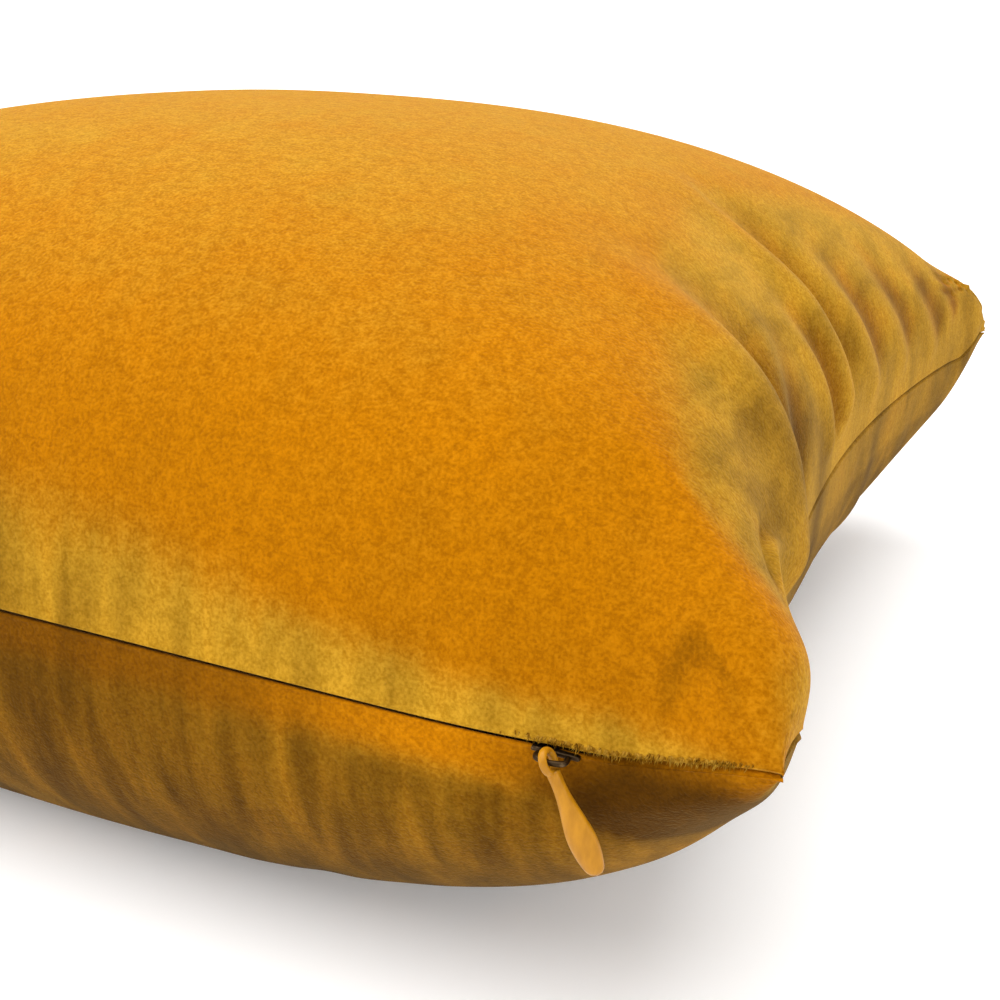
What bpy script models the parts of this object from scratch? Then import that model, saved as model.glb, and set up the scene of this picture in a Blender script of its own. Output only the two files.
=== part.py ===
"""A square throw pillow: a velvet cover with a concealed zip along its near edge, and a filled insert.

Metres, +Z up. The pillow lies on its back panel, its near (zip) edge on -Y. The origin is on the surface
it lies on, under its middle. Two numbers u and v, each from -1 to 1, name a place on a panel, and an
inset says how far a surface lies inside the cover's outer face.
"""

import math

import bmesh
import bpy

# Driving dimensions
SPAN = 0.430  # corner tip to corner tip of the filled pillow
EDGE_BOW = 0.032  # how far the middle of a sewn edge draws in between its corners
SEAM_HEIGHT = 0.077  # seam above the surface that the pillow lies on
CROWN = 0.106  # top of the front panel above the seam
BELLY = 0.122  # how deep the back panel would hang if nothing flattened it
CORNER_LIFT = 0.013
FRONT_POWER, BACK_POWER, EDGE_POWER = 0.36, 0.44, 2.46  # fullness of the front, the back and towards an edge
CORNER_POWER = 40  # higher is a sharper corner

PANEL_THICK = 0.0015
ALLOWANCE = 0.010  # seam allowance turned in behind each sewn edge
SEAM_GAP = 0.0003  # between the two allowances, and between any two touching pieces
THREAD_WRAP = 0.0005  # how thick the overlock binding stands
BINDING = 0.005  # how far the binding reaches over the allowances
BINDING_GAP = 0.0006  # between the binding and an allowance, which twists towards a corner
THREAD = 0.0004

ZIP_LENGTH = 0.356
ZIP_DRAW = 0.0065  # how far the straight zip edge lies inside the corner tips
LIP_FIT = 0.0004  # between the slider's neck and each lip of the zip opening
TAPE_THICK, TAPE_WIDTH = 0.0006, 0.012
WALL_GAP = 0.0005  # between a tape and the cover wall in front of it
STITCH_LINE = 0.008  # tape stitching above and below the zip opening
COIL_RADIUS = 0.00095
COIL_END = 0.0043  # bare tape past each end of the coils
STOP_LENGTH = 0.004

SLIDER_LENGTH, SLIDER_WALL, SLIDER_NECK = 0.010, 0.0007, 0.0010
FIT = 0.00035  # clearance inside the slider
BRIDGE_WIRE, BRIDGE_LENGTH = 0.0006, 0.0058  # radius, and between the centres of its two legs
RING_WIRE, RING_RADIUS = 0.0007, 0.0022  # the pull's eye: wire radius and ring radius
PULL_REACH = 0.0225  # ring's centre to the tip of the pull
PULL_WIDTH, PULL_THICK, PULL_NECK = 0.0062, 0.0036, 0.0026
PULL_TILT = math.radians(25)  # the pull leans towards +X as it hangs

CASE_THICK = 0.0005
CASE_GAP = 0.0005  # between the cover and the insert's case, and between the case and its filling
CASE_CLEAR = 0.0037  # between the case's seam and the bound edge of the cover's allowances
CASE_SIDE = 0.0045  # the case's side behind the cover's

CELLS = 10  # grid cells across half a panel, the same on every layer so that their faces run parallel

# Worked out from the driving dimensions
HALF = SPAN / 2
EDGE_Y = -(HALF - ZIP_DRAW)  # the straight zip edge
ZIP_END = ZIP_LENGTH / 2
STRAIGHT = ZIP_END / HALF
CROSS_END = 1 - (ALLOWANCE + BINDING) / HALF  # where the far and near seams' bindings end
COIL_HALF = ZIP_END - COIL_END
COIL_OFFSET = SLIDER_NECK / 2 + SEAM_GAP + COIL_RADIUS  # a coil's centre from the zip's mid line
LIP_GAP = SLIDER_NECK + 2 * LIP_FIT
CASE_BACKSET = ALLOWANCE + SEAM_GAP + THREAD_WRAP + CASE_CLEAR  # the case's seam behind the cover's
SLIDER_X = COIL_HALF - SLIDER_LENGTH / 2 - SEAM_GAP  # closed, against the top stops

PARTS = "throw_pillow"


def clear_scene():
    for obj in list(bpy.data.objects):
        bpy.data.objects.remove(obj, do_unlink=True)


def material(name, color, roughness, metallic=0.0):
    mat = bpy.data.materials.new(name)
    mat.use_nodes = True
    shader = mat.node_tree.nodes["Principled BSDF"]
    shader.inputs["Base Color"].default_value = (*color, 1.0)
    shader.inputs["Roughness"].default_value = roughness
    shader.inputs["Metallic"].default_value = metallic
    mat.diffuse_color = (*color, 1.0)
    return mat


def add_object(name, mesh, mat):
    obj = bpy.data.objects.new(name, mesh)
    bpy.data.collections[PARTS].objects.link(obj)
    mesh.materials.append(mat)
    return obj


def mesh_object(name, points, faces, mat, wound=False):
    """A mesh object. Unless its faces are already wound to face out, they are turned out here."""
    mesh = bpy.data.meshes.new(name)
    mesh.from_pydata(points, [], faces)
    obj = add_object(name, mesh, mat)
    if not wound:
        bm = bmesh.new()
        bm.from_mesh(mesh)
        bmesh.ops.recalc_face_normals(bm, faces=bm.faces)
        bm.to_mesh(mesh)
        bm.free()
    mesh.shade_smooth()
    mesh.set_sharp_from_angle(angle=math.radians(40))
    return obj


# The pillow's form


def ease(low, high, value):
    t = min(max((value - low) / (high - low), 0.0), 1.0)
    return t * t * (3 - 2 * t)


def plan(u, v):
    """Where the place u, v lies in plan. The zip edge is straight as far as the zip runs."""
    x = u * (HALF - EDGE_BOW * (1 - v * v))
    near = EDGE_Y - ZIP_DRAW * ease(STRAIGHT, 1, abs(u))
    far = HALF - EDGE_BOW * (1 - u * u)
    y = near + (far - near) * (v + 1) / 2
    if min(abs(u), abs(v)) > STRAIGHT:
        square = max(abs(u), abs(v))
        round_off = square / (abs(u) ** CORNER_POWER + abs(v) ** CORNER_POWER) ** (1 / CORNER_POWER)
        x, y = x * round_off, y * round_off
    return x, y


def fullness(u, v):
    return max(0.0, (1 - abs(u) ** EDGE_POWER) * (1 - abs(v) ** EDGE_POWER))


def height(u, v, side):
    """Height above the seam plane of the cover's outer face: side is 1 for the front, -1 for the back."""
    if side > 0:
        return CROWN * fullness(u, v) ** FRONT_POWER
    return -min(BELLY * fullness(u, v) ** BACK_POWER, SEAM_HEIGHT)


def corner_lift(u, v):
    return CORNER_LIFT * ease(STRAIGHT, 1, abs(u)) * ease(STRAIGHT, 1, abs(v))


def levels():
    """Grid places from -1 to 1, closer together towards the edges, with one at the end of each run."""
    half = [math.sin(math.pi / 2 * i / CELLS) for i in range(CELLS + 1)]
    zip_end = min(range(1, CELLS), key=lambda i: abs(half[i] - STRAIGHT))
    half[zip_end] = STRAIGHT
    cross_end = min(range(zip_end + 2, CELLS), key=lambda i: abs(half[i] - CROSS_END))
    half[cross_end] = CROSS_END
    return [-value for value in reversed(half[1:])] + half


def wall_lean(side):
    """How far a cover wall draws in for each metre of height beside the zip, where it leans most."""
    last = levels()[-2]
    inward = abs(plan(0, -1)[1] - plan(0, -last)[1])
    return inward / abs(height(STRAIGHT, last, side))


def grid_faces(count, flip):
    faces = []
    for i in range(count - 1):
        for j in range(count - 1):
            a, b = i * count + j, (i + 1) * count + j
            faces.append((a, a + 1, b + 1, b) if flip else (a, b, b + 1, a + 1))
    return faces


def rim(count):
    """A grid's outline, from the near left corner round by the near, right, far and left edges."""
    last = count - 1
    near = [(i, 0) for i in range(last)]
    right = [(last, j) for j in range(last)]
    far = [(i, last) for i in range(last, 0, -1)]
    left = [(0, j) for j in range(last, 0, -1)]
    return near + right + far + left


# Cover


def allowance_point(u, v, depth):
    """A place on the turned-in allowance, a depth behind the seam at u, v, and its lift above the seam."""
    limit = 1 - depth / HALF
    x, y = plan(min(max(u, -limit), limit), min(max(v, -limit), limit))
    limit = 1 - ALLOWANCE / HALF
    inner_lift = corner_lift(min(max(u, -limit), limit), min(max(v, -limit), limit))
    share = depth / ALLOWANCE
    return x, y, corner_lift(u, v) * (1 - share) + inner_lift * share


def cover_panel(name, side, mat):
    """One velvet panel with its seam allowance turned in, left open along the zip."""
    steps = levels()
    count = len(steps)
    points = []
    for u in steps:
        for v in steps:
            x, y = plan(u, v)
            lift = height(u, v, side) + corner_lift(u, v)
            if u in (steps[0], steps[-1]) or v in (steps[0], steps[-1]):
                on_zip = v == steps[0] and abs(u) <= STRAIGHT
                lift += side * (LIP_GAP if on_zip else SEAM_GAP) / 2
            points.append((x, y, SEAM_HEIGHT + lift))
    faces = grid_faces(count, side < 0)

    inner = {}
    allowance = {}
    for i, j in rim(count):
        u, v = steps[i], steps[j]
        if j == 0 and abs(u) <= STRAIGHT:
            continue
        x, y, lift = allowance_point(u, v, ALLOWANCE)
        place = (round(x, 6), round(y, 6))
        if place not in inner:
            inner[place] = len(points)
            points.append((x, y, SEAM_HEIGHT + lift + side * SEAM_GAP / 2))
        allowance[i, j] = inner[place]
    outline = rim(count)
    for here, there in zip(outline, outline[1:] + outline[:1]):
        if here not in allowance or there not in allowance:
            continue
        a, b = here[0] * count + here[1], there[0] * count + there[1]
        face = [a, allowance[here], allowance[there], b]
        if allowance[here] == allowance[there]:
            face = [a, allowance[here], b]
        faces.append(tuple(face if side > 0 else [a, *face[:0:-1]]))

    panel = mesh_object(name, points, faces, mat, wound=True)
    shell = panel.modifiers.new("thickness", "SOLIDIFY")
    shell.thickness = PANEL_THICK
    shell.offset = -1
    shell.use_even_offset = True
    return panel


def ribbon_along(name, stations, mat):
    """A closed solid through like cross-sections, given as lists of points."""
    sides = len(stations[0])
    points = [point for station in stations for point in station]
    faces = []
    for row in range(len(stations) - 1):
        for k in range(sides):
            a, b = row * sides + k, row * sides + (k + 1) % sides
            faces.append((a, b, b + sides, a + sides))
    faces.append(tuple(range(sides - 1, -1, -1)))
    faces.append(tuple(range(len(points) - sides, len(points))))
    return mesh_object(name, points, faces, mat)


def binding(name, places, mat):
    """Overlock thread, folded round the raw edges of the two allowances along a run of places u, v."""
    inside = SEAM_GAP / 2 + PANEL_THICK + BINDING_GAP
    outside = inside + THREAD_WRAP
    raw = ALLOWANCE + SEAM_GAP
    tip = raw + THREAD_WRAP
    start = ALLOWANCE - BINDING
    profile = [(start, -outside), (tip, -outside), (tip, outside), (start, outside)]
    profile += [(start, inside), (raw, inside), (raw, -inside), (start, -inside)]
    stations = []
    for u, v in places:
        station = []
        for depth, rise in profile:
            x, y, lift = allowance_point(u, v, depth)
            station.append((x, y, SEAM_HEIGHT + lift + rise))
        stations.append(station)
    return ribbon_along(name, stations, mat)


def seam_threads(mat):
    """Five runs of overlock. The side runs stop short of the corners, and the others reach in beside them."""
    steps = levels()
    cross_run = [s for s in steps if abs(s) <= CROSS_END]
    side_run = cross_run[1:-1]
    end_run = [s for s in cross_run if s > STRAIGHT]
    binding("seam_thread_right", [(1, s) for s in side_run], mat)
    binding("seam_thread_left", [(-1, s) for s in side_run], mat)
    binding("seam_thread_far", [(s, 1) for s in cross_run], mat)
    binding("end_seam_thread_right", [(s, -1) for s in end_run], mat)
    binding("end_seam_thread_left", [(-s, -1) for s in end_run], mat)


# Zip


def wall_inside(side, rise):
    """Depth behind the zip edge that clears the inside of a cover wall at a height above the zip."""
    return PANEL_THICK + wall_lean(side) * rise + WALL_GAP


def bar_along_x(name, profile, start, end, mat):
    """A bar along the zip: its profile lists (depth behind the edge, height above the seam)."""
    stations = []
    for x in (start, end):
        stations.append([(x, EDGE_Y + depth, SEAM_HEIGHT + rise) for depth, rise in profile])
    return ribbon_along(name, stations, mat)


def rod_along_x(name, depth, rise, radius, start, end, mat, sides=16):
    bpy.ops.mesh.primitive_cylinder_add(vertices=sides, radius=radius, depth=end - start)
    rod = bpy.context.active_object
    rod.name = rod.data.name = name
    rod.rotation_euler = (0, math.pi / 2, 0)
    rod.location = ((start + end) / 2, EDGE_Y + depth, SEAM_HEIGHT + rise)
    rod.data.materials.append(mat)
    rod.data.shade_smooth()
    rod.data.set_sharp_from_angle(angle=math.radians(40))
    for collection in list(rod.users_collection):
        collection.objects.unlink(rod)
    bpy.data.collections[PARTS].objects.link(rod)
    return rod


def coil_depth():
    return max(wall_inside(side, COIL_OFFSET) for side in (1, -1)) + TAPE_THICK + SEAM_GAP + COIL_RADIUS


def zip_tape(name, side, mat):
    low = LIP_GAP / 2 + SEAM_GAP
    high = low + TAPE_WIDTH
    near_low, near_high = wall_inside(side, low), wall_inside(side, high)
    profile = [
        (near_low, side * low),
        (near_low + TAPE_THICK, side * low),
        (near_high + TAPE_THICK, side * high),
        (near_high, side * high),
    ]
    return bar_along_x(name, profile, -ZIP_END + SEAM_GAP, ZIP_END - SEAM_GAP, mat)


def zip_pieces(tape_mat, coil_mat, thread_mat, stop_mat):
    depth = coil_depth()
    for word, side in (("front", 1), ("back", -1)):
        zip_tape(f"zip_tape_{word}", side, tape_mat)
        inner = wall_inside(side, STITCH_LINE) + TAPE_THICK + SEAM_GAP + THREAD / 2
        stitch = (inner, side * STITCH_LINE, THREAD / 2)
        rod_along_x(f"zip_stitching_{word}", *stitch, -COIL_HALF, COIL_HALF, thread_mat, sides=8)
        coil = (depth, side * COIL_OFFSET, COIL_RADIUS)
        rod_along_x(f"zip_coil_{word}", *coil, -COIL_HALF, COIL_HALF, coil_mat)
    near, far = depth - COIL_RADIUS, depth + COIL_RADIUS
    low, high = COIL_OFFSET - COIL_RADIUS, COIL_OFFSET + COIL_RADIUS
    start = COIL_HALF + SEAM_GAP
    end = start + min(STOP_LENGTH, COIL_END - 2 * SEAM_GAP)
    both = [(near, -high), (far, -high), (far, high), (near, high)]
    bar_along_x("zip_bottom_stop", both, -end, -start, stop_mat)
    for word, side in (("front", 1), ("back", -1)):
        one = [(near, side * low), (far, side * low), (far, side * high), (near, side * high)]
        bar_along_x(f"zip_top_stop_{word}", one, start, end, stop_mat)


def zip_slider(mat):
    """The slider's body rides behind the coils, and its neck comes out between the lips of the opening."""
    depth = coil_depth()
    inner_wall = COIL_OFFSET + COIL_RADIUS + FIT
    outer_wall = inner_wall + SLIDER_WALL
    back_in = depth + COIL_RADIUS + FIT
    back_out = back_in + SLIDER_WALL
    lip = max(wall_inside(side, outer_wall) for side in (1, -1)) + TAPE_THICK + SEAM_GAP
    half_neck = SLIDER_NECK / 2
    profile = [
        (lip, inner_wall), (lip, outer_wall), (back_out, outer_wall),
        (back_out, -outer_wall), (lip, -outer_wall), (lip, -inner_wall), (back_in, -inner_wall),
        (back_in, -half_neck), (-SEAM_GAP, -half_neck), (-SEAM_GAP, half_neck),
        (back_in, half_neck), (back_in, inner_wall),
    ]
    half = SLIDER_LENGTH / 2
    return bar_along_x("zip_slider_body", profile, SLIDER_X - half, SLIDER_X + half, mat)


def bar_depth():
    """How far outside the zip edge the bridge's bar lies: the pull's ring turns clear of the fabric."""
    return RING_RADIUS + RING_WIRE + 2 * SEAM_GAP


def zip_bridge(mat):
    """The small arch on the slider's neck that the pull's ring hangs from."""
    out, foot = bar_depth(), 2 * SEAM_GAP
    half = BRIDGE_LENGTH / 2
    bend = 2 * BRIDGE_WIRE
    route = [(-half, foot)]
    for k in range(5):
        angle = math.pi / 2 * k / 4
        route.append((-half + bend * (1 - math.cos(angle)), out - bend * (1 - math.sin(angle))))
    route += [(-x, depth) for x, depth in reversed(route)]
    curve = bpy.data.curves.new("zip_slider_bridge", "CURVE")
    curve.dimensions = "3D"
    curve.bevel_depth = BRIDGE_WIRE
    curve.bevel_resolution = 2
    curve.use_fill_caps = True
    spline = curve.splines.new("POLY")
    spline.points.add(len(route) - 1)
    for point, (x, depth) in zip(spline.points, route):
        point.co = (x, -depth, 0, 1)
    bridge = add_object("zip_slider_bridge", curve, mat)
    bridge.location = (SLIDER_X, EDGE_Y, SEAM_HEIGHT)
    return bridge


def zip_pull(mat):
    """A slim drop with a ring at its top. Its origin is on the bar that it turns about."""
    rows, sides = 12, 14
    top = RING_RADIUS - RING_WIRE / 2
    tip = 0.14  # how much of the drop rounds off into its tip
    blunt = 0.12
    low, drawn = 1.15, 1.3  # the widest place sits below the middle, and the neck stays slim
    points, faces = [], []
    for i in range(rows + 1):
        t = i / rows
        drop = top + (PULL_REACH - top) * t
        swell = max(0.0, math.sin(math.pi * t**low)) ** drawn
        end = math.sqrt(max(0.0, 1 - ((t - 1 + tip) / tip) ** 2)) if t > 1 - tip else 1.0
        width = (PULL_NECK + (PULL_WIDTH - PULL_NECK) * swell) * max(end, blunt)
        thick = (PULL_NECK + (PULL_THICK - PULL_NECK) * swell) * max(end, blunt)
        for k in range(sides):
            angle = 2 * math.pi * k / sides
            points.append((width / 2 * math.cos(angle), thick / 2 * math.sin(angle), -drop))
    for i in range(rows):
        for k in range(sides):
            a, b = i * sides + k, i * sides + (k + 1) % sides
            faces.append((a, b, b + sides, a + sides))
    faces.append(tuple(range(sides)))
    faces.append(tuple(range(rows * sides, (rows + 1) * sides)))
    pull = mesh_object("zip_pull", points, faces, mat)

    bpy.ops.mesh.primitive_torus_add(
        major_radius=RING_RADIUS, minor_radius=RING_WIRE, major_segments=24, minor_segments=10,
        rotation=(0, math.pi / 2, 0),
    )
    ring = bpy.context.active_object
    ring.name = "pull_ring_cutter"
    ring.hide_render = True
    ring.display_type = "WIRE"
    for collection in list(ring.users_collection):
        collection.objects.unlink(ring)
    bpy.data.collections["cutters"].objects.link(ring)
    join = pull.modifiers.new("ring", "BOOLEAN")
    join.operation = "UNION"
    join.object = ring

    place = (SLIDER_X, EDGE_Y - bar_depth(), SEAM_HEIGHT)
    pull.location = place
    ring.parent = pull
    pull.rotation_euler = (0, -PULL_TILT, 0)
    return pull


# Insert


def insert_point(u, v, side, inset):
    """A place on the insert: its seam lies behind the cover's, and its sides fill the cover out."""
    edge = max(abs(u), abs(v))
    turn = 0.97  # beyond here the insert draws in to its own seam
    draw = CASE_SIDE + (CASE_BACKSET - CASE_SIDE) * ease(turn, 1, edge) + inset
    x, y = plan(u * (1 - draw / HALF), v * (1 - draw / HALF))
    depth = PANEL_THICK + CASE_GAP + inset
    tall = CROWN if side > 0 else SEAM_HEIGHT
    return x, y, SEAM_HEIGHT + corner_lift(u, v) + height(u, v, side) * (1 - depth / tall)


def insert_case(name, side, mat):
    steps = levels()
    points = []
    for u in steps:
        for v in steps:
            x, y, z = insert_point(u, v, side, 0)
            on_edge = max(abs(u), abs(v)) == 1
            points.append((x, y, z + side * SEAM_GAP / 2 if on_edge else z))
    case = mesh_object(name, points, grid_faces(len(steps), side < 0), mat, wound=True)
    shell = case.modifiers.new("thickness", "SOLIDIFY")
    shell.thickness = CASE_THICK
    shell.offset = -1
    return case


def insert_fill(mat):
    """The filling is one body, its front and back grids joined round their rim."""
    steps = levels()
    count = len(steps)
    inset = CASE_THICK + CASE_GAP
    points, faces = [], []
    index = {}
    for side in (1, -1):
        for i, u in enumerate(steps):
            for j, v in enumerate(steps):
                on_edge = max(abs(u), abs(v)) == 1
                if side < 0 and on_edge:
                    index[side, i, j] = index[1, i, j]
                    continue
                index[side, i, j] = len(points)
                points.append(insert_point(u, v, side, inset))
        for i in range(count - 1):
            for j in range(count - 1):
                turn = ((i, j), (i + 1, j), (i + 1, j + 1), (i, j + 1))
                if side < 0:
                    turn = (turn[0], turn[3], turn[2], turn[1])
                faces.append(tuple(index[side, a, b] for a, b in turn))
    return mesh_object("insert_fill", points, faces, mat)


def insert_closing_thread(mat):
    """A line of stitching just outside the case's near seam."""
    steps = [s for s in levels() if abs(s) <= STRAIGHT]
    side = THREAD / 2
    stations = []
    for u in steps:
        x, y, z = insert_point(u, -1, 1, 0)
        y -= SEAM_GAP + side
        stations.append([(x, y + a * side, z + b * side) for a, b in ((-1, -1), (1, -1), (1, 1), (-1, 1))])
    return ribbon_along("insert_closing_thread", stations, mat)


def build():
    clear_scene()
    for name in (PARTS, "cutters"):
        collection = bpy.data.collections.get(name) or bpy.data.collections.new(name)
        if collection.name not in bpy.context.scene.collection.children:
            bpy.context.scene.collection.children.link(collection)

    velvet = material("velvet", (0.69, 0.24, 0.004), 0.75)
    thread = material("thread", (0.55, 0.25, 0.03), 0.7)
    tape = material("zip_tape", (0.45, 0.22, 0.03), 0.8)
    coil = material("zip_coil", (0.42, 0.2, 0.03), 0.4)
    dark_metal = material("dark_metal", (0.06, 0.025, 0.01), 0.35, 0.6)
    lacquer = material("golden_lacquer", (0.72, 0.36, 0.07), 0.3)
    ticking = material("ticking", (0.8, 0.79, 0.76), 0.85)
    fibre = material("fibre", (0.88, 0.88, 0.86), 0.95)

    cover_panel("cover_front_panel", 1, velvet)
    cover_panel("cover_back_panel", -1, velvet)
    seam_threads(thread)
    zip_pieces(tape, coil, thread, dark_metal)
    zip_slider(dark_metal)
    zip_bridge(dark_metal)
    zip_pull(lacquer)
    insert_case("insert_case_front", 1, ticking)
    insert_case("insert_case_back", -1, ticking)
    insert_fill(fibre)
    insert_closing_thread(thread)


build()
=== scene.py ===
import math
import random

import bmesh
import bpy
import numpy as np
from mathutils import Matrix, Vector


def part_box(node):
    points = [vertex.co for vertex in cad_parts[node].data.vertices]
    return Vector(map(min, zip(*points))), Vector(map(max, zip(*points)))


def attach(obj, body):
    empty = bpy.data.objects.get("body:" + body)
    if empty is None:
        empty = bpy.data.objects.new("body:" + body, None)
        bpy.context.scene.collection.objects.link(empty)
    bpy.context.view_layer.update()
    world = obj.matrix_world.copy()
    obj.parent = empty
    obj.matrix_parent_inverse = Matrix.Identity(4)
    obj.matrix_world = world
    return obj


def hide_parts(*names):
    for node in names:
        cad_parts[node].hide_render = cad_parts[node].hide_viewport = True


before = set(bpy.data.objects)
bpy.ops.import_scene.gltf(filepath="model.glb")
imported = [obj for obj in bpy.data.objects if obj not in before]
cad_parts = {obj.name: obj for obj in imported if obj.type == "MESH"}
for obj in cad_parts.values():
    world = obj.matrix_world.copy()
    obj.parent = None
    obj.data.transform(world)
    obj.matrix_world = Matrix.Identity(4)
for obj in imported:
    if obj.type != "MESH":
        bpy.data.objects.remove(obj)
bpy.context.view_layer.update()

# Camera and studio. The camera stands low off the near right corner, a little rolled. The pillow lies on a
# wide pale floor under one broad soft light from above and behind, with an even fill round it.

scene = bpy.context.scene
scene.view_settings.view_transform = "Standard"
camera_data = bpy.data.cameras.new("camera")
camera_data.sensor_width = 36
camera_data.lens = 48.3
camera_data.clip_start = 0.01
camera = bpy.data.objects.new("camera", camera_data)
scene.collection.objects.link(camera)
swing = Matrix.Rotation(math.radians(22.44), 4, "Z")
dip = Matrix.Rotation(math.radians(90 - 19.16), 4, "X")
roll = Matrix.Rotation(math.radians(2.85), 4, "Z")
camera.matrix_world = Matrix.Translation((0.243, -0.423, 0.2065)) @ swing @ dip @ roll
scene.camera = camera

world = bpy.data.worlds.new("studio")
world.use_nodes = True
world.node_tree.nodes["Background"].inputs["Color"].default_value = (1.0, 0.99, 0.97, 1)
world.node_tree.nodes["Background"].inputs["Strength"].default_value = 0.72
scene.world = world

overhead_data = bpy.data.lights.new("overhead", "SUN")
overhead_data.energy = 3.1
overhead_data.angle = math.radians(80)
overhead = bpy.data.objects.new("overhead", overhead_data)
overhead.rotation_euler = (math.radians(8), math.radians(-16), 0)
scene.collection.objects.link(overhead)


class Wire:
    """A socket in a material. Sums and products of wires add their Math nodes."""

    def __init__(self, socket):
        self.socket = socket

    @classmethod
    def node(cls, tree, kind, settings=None, sockets=None, output=0):
        """Adds a node with its settings, and with its sockets' values or wires. Gives one of its outputs."""
        made = tree.nodes.new("ShaderNode" + kind)
        for name, value in (settings or {}).items():
            setattr(made, name, value)
        for name, value in (sockets or {}).items():
            if isinstance(value, cls):
                tree.links.new(value.socket, made.inputs[name])
            else:
                made.inputs[name].default_value = value
        return cls(made.outputs[output])

    def math(self, operation, *values):
        return self.node(self.socket.id_data, "Math", {"operation": operation}, dict(enumerate(values)))

    def __add__(self, other):
        return self.math("ADD", self, other)

    __radd__ = __add__

    def __mul__(self, other):
        return self.math("MULTIPLY", self, other)

    __rmul__ = __mul__

    def __sub__(self, other):
        return self.math("SUBTRACT", self, other)

    def __rsub__(self, other):
        return self.math("SUBTRACT", other, self)

    def between(self, low, high):
        """0 below low and 1 above high, with a soft step between."""
        step = {"data_type": "FLOAT", "interpolation_type": "SMOOTHSTEP"}
        ends = {"Value": self, "From Min": low, "From Max": high}
        return self.node(self.socket.id_data, "MapRange", step, ends)

    def mix(self, first, second):
        """The first colour where this is 0, and the second where it is 1."""
        first, second = (color if isinstance(color, Wire) else (*color, 1) for color in (first, second))
        sockets = {"Factor": self, 6: first, 7: second}
        return self.node(self.socket.id_data, "Mix", {"data_type": "RGBA"}, sockets, output=2)

    def times(self, color):
        """This colour multiplied by another."""
        settings = {"data_type": "RGBA", "blend_type": "MULTIPLY"}
        sockets = {"Factor": 1.0, 6: self, 7: color}
        return self.node(self.socket.id_data, "Mix", settings, sockets, output=2)


def finish(name, roughness=0.5, metallic=0.0, **gloss):
    """A new material, its shader node, its tree and its place on the object."""
    material = bpy.data.materials.new(name)
    material.use_nodes = True
    tree = material.node_tree
    shader = tree.nodes["Principled BSDF"]
    shader.inputs["Roughness"].default_value = roughness
    shader.inputs["Metallic"].default_value = metallic
    for socket, value in gloss.items():
        shader.inputs[socket.replace("_", " ")].default_value = value
    place = Wire.node(tree, "TexCoord", output=3)
    return material, shader, tree, place


def noise(tree, place, size, detail):
    """Cloudy variation, from 0 to 1, whose lumps are about a size across."""
    return Wire.node(tree, "TexNoise", {}, {"Vector": place, "Scale": 1 / size, "Detail": detail})


def plug(tree, wire, shader, socket):
    """Lets a wire drive one of the shader's sockets."""
    tree.links.new(wire.socket, shader.inputs[socket])


def bump(tree, height, depth, shader):
    """Relief of a height from 0 to 1 and a depth in metres."""
    made = Wire.node(tree, "Bump", {}, {"Height": height, "Distance": depth, "Strength": 1.0})
    plug(tree, made, shader, "Normal")


def new_piece(name, data):
    piece = bpy.data.objects.new(name, data)
    scene.collection.objects.link(piece)
    return piece


def stage_piece(name, corners, faces, color, glow):
    """A plain painted sheet of the studio, which glows a little so that it stays white."""
    mesh = bpy.data.meshes.new(name)
    mesh.from_pydata(corners, [], faces)
    piece = new_piece(name, mesh)
    material, shader, tree, place = finish(name, roughness=0.8)
    shader.inputs["Base Color"].default_value = color
    shader.inputs["Emission Color"].default_value = (1, 1, 1, 1)
    shader.inputs["Emission Strength"].default_value = glow
    mesh.materials.append(material)


WALLS = 32
STUDIO_RADIUS = 12
WALL_HEIGHT = 5
turns = [math.tau * k / WALLS for k in range(WALLS)]
foot = [(STUDIO_RADIUS * math.cos(turn), STUDIO_RADIUS * math.sin(turn), 0) for turn in turns]
head = [(x, y, WALL_HEIGHT) for x, y, z in foot]
stage_piece("floor", foot, [tuple(range(WALLS))], (0.9, 0.9, 0.9, 1), 0.2)
around = [((k + 1) % WALLS, k, k + WALLS, (k + 1) % WALLS + WALLS) for k in range(WALLS)]
stage_piece("backdrop", foot + head, around, (0.8, 0.8, 0.8, 1), 0.3)


# Cover. Two squares of cotton velvet sewn on three sides, with a concealed zip in the near side. Filled out,
# the sewn edges draw in between the corners and pucker, while the zip keeps the near edge almost straight.

CUT = 0.457  # each square between its seams
CELLS = 96  # of the cloth, along each side
HALF = 1.0157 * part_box("cover_front_panel")[1].x  # half the span, before the corners are rounded off
EDGE_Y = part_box("zip_slider_body")[0].y + 0.0003  # the zip's lips
SEAM_Z = (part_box("zip_coil_front")[0].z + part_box("zip_coil_back")[1].z) / 2
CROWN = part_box("cover_front_panel")[1].z - SEAM_Z
ZIP_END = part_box("zip_tape_front")[1].x / HALF
EDGE_BOW = 0.032  # how far a sewn edge draws in between its corners
BELLY = 0.122  # how far the back would hang below the seam if no floor held it up
FLAT_BOTTOM = 0.004
CORNER_LIFT = 0.013
ZIP_TAKE = 0.05  # how much narrower the squares are along the zip, which takes up some of the cloth
PRESSURE = 3.5
SETTLING = 24  # steps for the cloth to fill out


def ease(low, high, value):
    """0 at low and 1 at high, with a soft start and end. It also runs from a high value down to a low one."""
    t = np.clip((value - low) / (high - low), 0, 1)
    return t * t * (3 - 2 * t)


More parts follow.
